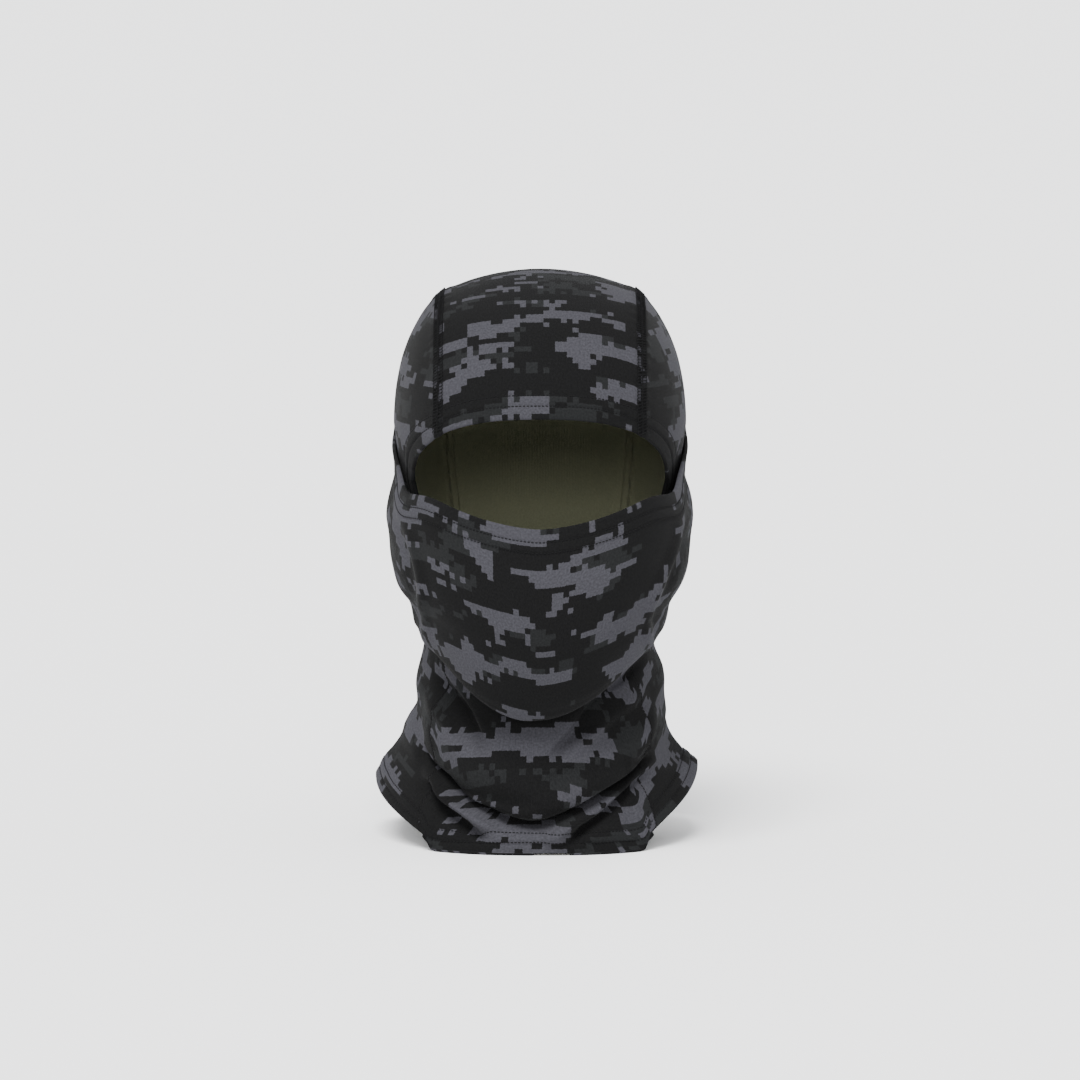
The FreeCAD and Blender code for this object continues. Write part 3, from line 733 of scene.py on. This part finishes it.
def side_grid():
    """The wearer's left side panel, from the crown seam down by face opening to nape, as for crown_grid."""
    down = np.concatenate([0.08 * np.linspace(0, 1, 16)[:-1] ** 1.3, np.linspace(0.08, 1, 62)])
    back = np.concatenate([np.linspace(0, 0.2, 101)[:-1], np.linspace(0.2, 1, 80)])
    v, u = np.meshgrid(down, back, indexing="ij")
    points = side_skin(u, v)
    y, z = points[..., 1], points[..., 2]
    levels = mix(HEAD_CENTRE_Z, z[..., None], np.linspace(0, 1, 17))
    climb = np.hypot(np.diff(side_x(y[..., None], levels)), np.diff(levels)).sum(-1)
    return points, lengths(points, 0), np.stack([y, climb * np.sign(z - HEAD_CENTRE_Z)], axis=-1)


def hood_relief(points, from_seam):
    from_edge = lengths(points, 1)
    return hem_relief(from_edge) + seam_relief(from_seam, from_edge) + cloth_noise(points)


def hood_thickness(points):
    return mix(TURNED_EDGE_T, CLOTH_T, smooth((lengths(points, 1) - TOPSTITCH_ROWS[1]) / 2))


def lining_depth(points):
    change = LINING_DEPTH_CHANGE * wander(points, 30)
    return np.maximum(LINING_DEPTH + change, LINING_DEPTH_LEAST)


def lined(name, points, from_seam, uv, nodes):
    """A hood lining, with puckers beside the seams that its panels are sewn together with."""
    walked = lengths(points, 1)
    puckers = 0.9 * (1 + np.sin(walked / 2.3 + 2 * np.sin(walked / 17))) * bell(from_seam - 10, 6)
    depth = lining_depth(points) + puckers * smooth((from_seam - 3) / 5)
    inner = points - normals(points) * depth[..., None]
    place_piece(sheet(name, inner, uv, OLIVE, LINING_T), nodes)


def lining_seam(name, side):
    """The strip of folded cloth over a seam of the hood's lining. It has no CAD node of its own."""
    u = np.linspace(0.05, 1, 160)
    across = [crown_skin(u, 1 - d / CROWN_HALF_WIDTH) for d in (4.0, 2.5, 1.2)]
    across += [side_skin(u, d / SIDE_HEIGHT) for d in (0.0, 1.2, 2.5, 4.0)]
    points = mirrored(np.stack(across), side)
    inner = points - normals(points) * (lining_depth(points) + 0.6)[..., None]
    place = np.stack([200 + 3.0 * np.arange(7)[:, None] + 0 * u, 330 * u + 0 * points[..., 0]], axis=-1)
    made = sheet("lining_seam_" + name, inner, place, OLIVE, 0.8)
    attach(made, "hood")


def build_crown():
    """The crown strip, its lining and its part of the turned-in edge. Returns its skin."""
    points, from_seam, uv = crown_grid()
    skin = raised(points, hood_relief(points, from_seam))
    cloth = sheet("crown_cloth", skin, uv, CAMO, hood_thickness(points))
    place_piece(cloth, ["crown_panel"])
    behind_edge, under_edge = np.s_[::2, 24::2], np.s_[::2, 2:23:3]
    lined("crown_inside", points[behind_edge], from_seam[behind_edge], uv[behind_edge], ["crown_lining"])
    facing = sheet("brow_facing", points[under_edge], uv[under_edge], CAMO, FACING_T, FACING_DEPTH)
    place_piece(facing, ["brow_facing_center"])
    return skin


def build_side(name, side, points, from_seam, uv):
    """A side panel, its lining and its part of the turned-in edge. Returns its skin."""
    plain = mirrored(points, side)
    skin = mirrored(raised(points, hood_relief(points, from_seam)), side)
    cloth = sheet("side_cloth_" + name, skin, uv, CAMO, hood_thickness(points))
    place_piece(cloth, ["side_panel_" + name])
    behind_edge, under_edge = np.s_[::2, 40::2], np.s_[::2, 3:64:6]
    lining_node = "side_lining_" + name
    lined("side_inside_" + name, plain[behind_edge], from_seam[behind_edge], uv[behind_edge], [lining_node])
    lining_seam(name, side)
    facing = sheet("side_facing_" + name, plain[under_edge], uv[under_edge], CAMO, FACING_T, FACING_DEPTH)
    place_piece(facing, ["brow_facing_" + name])
    return skin


def build_crown_seam(name, crown_end, crown, side_panel):
    """The flatlock band over the seam between the crown strip and a side panel."""
    seam = crown[crown_end]
    beside = np.linspace(0, side_panel.shape[1] - 1, len(seam)).astype(int)
    ups = unit(normals(crown)[crown_end] + normals(side_panel)[0][beside])
    heading = unit(np.gradient(seam, axis=0))
    made = flatlock("crown_flatlock_" + name, seam, ups, unit(np.cross(heading, ups)), THREAD)
    place_piece(made, ["crown_seam_thread_" + name])


def build_hood():
    crown = build_crown()
    rows = [contour(crown, d) for d in TOPSTITCH_ROWS]
    points, from_seam, uv = side_grid()
    for name, side, crown_end in (("left", 1, -1), ("right", -1, 0)):
        side_panel = build_side(name, side, points, from_seam, uv * (side, 1) + CUTTING[name])
        rows += [contour(side_panel, d) for d in TOPSTITCH_ROWS]
        build_crown_seam(name, crown_end, crown, side_panel)
    place_piece(rows_of_stitches("brow_stitches", rows, THREAD), ["brow_topstitch"])


def mask_grid():
    """The mask from ear to ear by top edge down to the chin fold: skin and place on the cloth."""
    angle = np.radians(np.linspace(-MASK_REAR_DEGREES, MASK_REAR_DEGREES, 300))[:, None]
    radius, front = chin_turn(angle)
    total = mask_top(angle) - mask_bottom(angle) + radius * (mix(1.7, 2.7, front) - 1)
    across_hem = np.arange(0, HEM_WIDTH, FINE_STEP) + 0 * angle
    below_hem = HEM_WIDTH + np.linspace(0, 1, 97) * (total - HEM_WIDTH)
    down = np.concatenate([across_hem, below_hem], axis=1)
    points = mask_skin(angle + 0 * down, down)
    middle = lengths(mask_plan(angle[:, 0], np.full(300, 150.0)), 0)
    uv = np.stack([(middle - middle.mean())[:, None] + 0 * down, -down], axis=-1) + CUTTING["mask"]
    return points, uv


def build_mask():
    plain, uv = mask_grid()
    skin = raised(plain, hem_relief(lengths(plain, 1)))
    split = int(HEM_WIDTH / FINE_STEP) + 1
    hem = sheet("mask_hem", skin[:, :split + 1], uv[:, :split + 1], CAMO, HEM_T)
    place_piece(hem, ["mask_top_hem"], on_mask=True)
    panel = sheet("mask_cloth", skin[:, split:], uv[:, split:], CAMO, CLOTH_T)
    place_piece(panel, ["mask_panel"], on_mask=True)
    within = np.s_[2:-2:2, split::2]
    inside = sheet("mask_inside", plain[within], uv[within], OLIVE, LINING_T, depth=1.0)
    place_piece(inside, ["mask_lining"], on_mask=True)
    stitches = rows_of_stitches("mask_stitches", [contour(skin, d) for d in TOPSTITCH_ROWS], THREAD)
    place_piece(stitches, ["mask_topstitch"], on_mask=True)
    ups = normals(skin)
    for name, ends, tack_row in (("left", (-3, -5), -6), ("right", (2, 4), 5)):
        lines = [(skin[row, split:], ups[row, split:]) for row in ends]
        made = rows_of_stitches("mask_end_stitches_" + name, lines, THREAD)
        place_piece(made, ["mask_seam_thread_" + name], on_mask=True)
        build_tack(name, skin, ups, tack_row)


def build_tack(name, skin, ups, row):
    """A satin-stitched bar that holds the mask's hem to the hood."""
    column = 11     # about the middle of the hem
    centre, up = skin[row, column], ups[row, column]
    along_hem = unit(skin[row + 1, column] - centre)
    down = unit(skin[row, column + 2] - skin[row, column - 2])
    part = np.linspace(-1, 1, 7)
    lift = 0.1 + 0.5 * (1 - part**4)
    middle = centre + along_hem * np.linspace(-TACK_HALF_WIDTH, TACK_HALF_WIDTH, 10)[:, None]
    lines = middle[:, None] + down * (TACK_HALF_HEIGHT * part)[:, None] + up * lift[:, None]
    made = cords("mask_tack_" + name, lines, np.broadcast_to(up, lines.shape), TACK_R, THREAD)
    place_piece(made, ["hinge_tack_" + name], on_mask=True)


def neck_grid(front):
    """A neck panel from seam to seam by hem to top: skin and place on the cloth."""
    hem_share = HEM_WIDTH / NECK_HEIGHT
    share = np.concatenate([np.arange(0, HEM_WIDTH, FINE_STEP) / NECK_HEIGHT, np.linspace(hem_share, 1, 96)])
    across = np.linspace(-1, 1, 150)[:, None] if front else np.linspace(0, 1, 300)[:, None]
    seam = neck_seam_angle(share)
    angle = across * seam if front else mix(seam, 2 * math.pi - seam, across)
    share = share + 0 * angle
    walked = lengths(neck_shape(angle, share), 1)
    width = angle * NECK_RADIUS if front else angle * NECK_RADIUS + NECK_BACK_CUTTING
    return neck_skin(angle, share), np.stack([width, walked], axis=-1) + CUTTING["neck"]


def build_neck_panel(name, front):
    """A neck panel, its hem and its lining. Returns its skin."""
    split = int(HEM_WIDTH / FINE_STEP) + 1
    plain, uv = neck_grid(front)
    skin = raised(plain, hem_relief(lengths(plain, 1)))
    skin[..., 2] = np.maximum(skin[..., 2], HEM_EDGE_Z)
    hem = sheet("neck_hem_" + name + "_cloth", skin[:, :split + 1], uv[:, :split + 1], CAMO, HEM_T)
    place_piece(hem, ["neck_hem_" + name])
    panel = sheet("neck_cloth_" + name, skin[:, split:], uv[:, split:], CAMO, CLOTH_T)
    place_piece(panel, ["neck_" + name + "_panel"])
    inside = sheet("neck_inside_" + name, plain[:, split:], uv[:, split:], OLIVE, LINING_T, depth=1.3)
    place_piece(inside, ["neck_" + name + "_lining"])
    return skin


def build_neck():
    """The neck's two panels, the seam threads at its nape and sides, and its hem's stitches."""
    front, back = build_neck_panel("front", True), build_neck_panel("back", False)
    nape = np.s_[90:210, -1]
    upward = np.broadcast_to((0.0, 0.0, 1.0), back[nape].shape)
    made = flatlock("nape_flatlock", back[nape], normals(back)[nape], upward, THREAD)
    place_piece(made, ["nape_seam_thread"])
    hem_rows = [contour(skin, d) for skin in (front, back) for d in TOPSTITCH_ROWS]
    stitches = rows_of_stitches("neck_hem_stitches", hem_rows, THREAD)
    place_piece(stitches, ["neck_hem_topstitch"])
    for name, end in (("left", -1), ("right", 0)):
        made = rows_of_stitches("neck_side_stitches_" + name, [(front[end], normals(front)[end])], THREAD)
        place_piece(made, ["neck_seam_thread_" + name])


# ---- Stage ----

def plain_material(name, color, roughness):
    material = bpy.data.materials.new(name)
    material.use_nodes = True
    shade = material.node_tree.nodes["Principled BSDF"]
    shade.inputs["Base Color"].default_value = (*color, 1)
    shade.inputs["Roughness"].default_value = roughness
    return material


def lamp(kind, name, place, aim, power):
    """A studio light that the camera doesn't see."""
    light = bpy.data.lights.new(name, kind)
    light.energy = power
    made = bpy.data.objects.new(name, light)
    bpy.context.scene.collection.objects.link(made)
    made.location = place
    made.rotation_euler = (Vector(aim) - Vector(place)).to_track_quat("-Z", "Y").to_euler()
    made.visible_camera = False
    return light


def build_floor():
    mesh = bpy.data.meshes.new("floor")
    corners = [(-FLOOR_HALF, -FLOOR_HALF, 0), (FLOOR_HALF, -FLOOR_HALF, 0),
               (FLOOR_HALF, FLOOR_HALF, 0), (-FLOOR_HALF, FLOOR_HALF, 0)]
    mesh.from_pydata(corners, [], [(0, 1, 2, 3)])
    mesh.materials.append(plain_material("floor", (0.93, 0.93, 0.93), 0.9))
    floor = bpy.data.objects.new("floor", mesh)
    bpy.context.scene.collection.objects.link(floor)


def build_lights():
    world = bpy.data.worlds.new("studio")
    world.use_nodes = True
    sky = world.node_tree.nodes["Background"]
    sky.inputs["Color"].default_value = (0.97, 0.98, 1.0, 1)
    sky.inputs["Strength"].default_value = SKY_STRENGTH
    bpy.context.scene.world = world
    overhead = lamp("SUN", "overhead", (-0.45, -1.3, 2.5), (0, 0, 0), SUN_STRENGTH)
    overhead.angle = math.radians(SUN_ANGLE)
    frontal = lamp("AREA", "frontal", (-0.3, -4.1, 1.35), (0, 0, 0.2), SOFTBOX_POWER)
    frontal.shape = "RECTANGLE"
    frontal.size, frontal.size_y = SOFTBOX_SIZE


def build_camera():
    camera = bpy.data.cameras.new("camera")
    camera.lens, camera.sensor_width = CAMERA_LENS, SENSOR_WIDTH
    camera.clip_end = 60
    made = bpy.data.objects.new("camera", camera)
    bpy.context.scene.collection.objects.link(made)
    distance = VIEW_WIDTH / SENSOR_WIDTH * CAMERA_LENS
    tilt = math.radians(CAMERA_TILT)
    aim = Vector((0, 0, VIEW_CENTRE_Z))
    made.location = aim + Vector((0, -distance * math.cos(tilt), distance * math.sin(tilt)))
    made.rotation_euler = (aim - made.location).to_track_quat("-Z", "Y").to_euler()
    bpy.context.scene.camera = made


build_hood()
build_mask()
build_neck()
build_floor()
build_lights()
build_camera()
